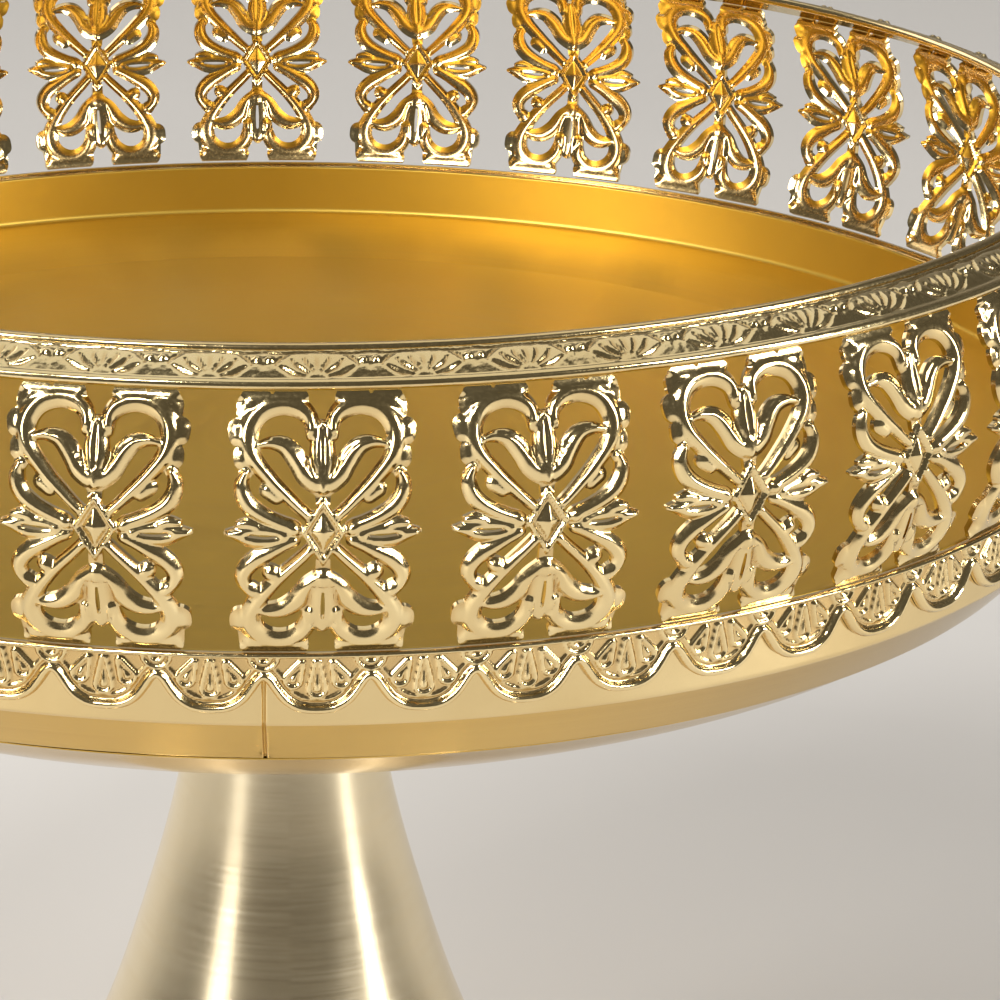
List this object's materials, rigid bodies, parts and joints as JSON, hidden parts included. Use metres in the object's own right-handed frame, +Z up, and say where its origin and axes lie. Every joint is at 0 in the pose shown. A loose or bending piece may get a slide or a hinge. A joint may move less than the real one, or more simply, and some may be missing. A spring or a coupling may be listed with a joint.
{
  "type": "gallery cake stand",
  "caption": "Round gold cake stand: a shallow tray walled by a ring of bulged openwork panels, with a scalloped border, on a flared trumpet pedestal.",
  "frame": {"origin": "middle of the surface the stand rests on, under the pedestal's axis", "axes": "+Z up along the pedestal's axis; openwork_panel_01 faces -Y"},
  "size_m": [0.25, 0.25, 0.1927],
  "materials": {
    "polished_gold": "polished",
    "matt_gold": "matt",
    "lacquered_gold": "glossy",
    "satin_brass": "satin, spun",
    "zinc_steel": "zinc plated",
    "black_rubber": "matt"
  },
  "bodies": {
    "root": {"tray_pan": "matt_gold", "wall_hoop": "polished_gold", "bottom_shell": "lacquered_gold", "scalloped_border": "polished_gold", "gallery_rail": "polished_gold", "rim_wire": "polished_gold", "pedestal": "satin_brass", "neck_gasket": "black_rubber", "pedestal_cap": "satin_brass", "foot_ring": "zinc_steel", "foot_pads": "black_rubber", "hub_plate": "zinc_steel", "centre_stud": "zinc_steel", "flat_washer": "zinc_steel", "spring_washer": "zinc_steel", "hex_nut": "zinc_steel", "openwork_panel_01": "polished_gold", "openwork_panel_02": "polished_gold", "openwork_panel_03": "polished_gold", "openwork_panel_04": "polished_gold", "openwork_panel_05": "polished_gold", "openwork_panel_06": "polished_gold", "openwork_panel_07": "polished_gold", "openwork_panel_08": "polished_gold", "openwork_panel_09": "polished_gold", "openwork_panel_10": "polished_gold", "openwork_panel_11": "polished_gold", "openwork_panel_12": "polished_gold", "openwork_panel_13": "polished_gold", "openwork_panel_14": "polished_gold", "openwork_panel_15": "polished_gold", "openwork_panel_16": "polished_gold", "openwork_panel_17": "polished_gold", "openwork_panel_18": "polished_gold", "openwork_panel_19": "polished_gold", "openwork_panel_20": "polished_gold", "openwork_panel_21": "polished_gold", "openwork_panel_22": "polished_gold", "openwork_panel_23": "polished_gold", "openwork_panel_24": "polished_gold", "openwork_panel_25": "polished_gold", "openwork_panel_26": "polished_gold", "openwork_panel_27": "polished_gold", "openwork_panel_28": "polished_gold"}
  },
  "joints": []
}
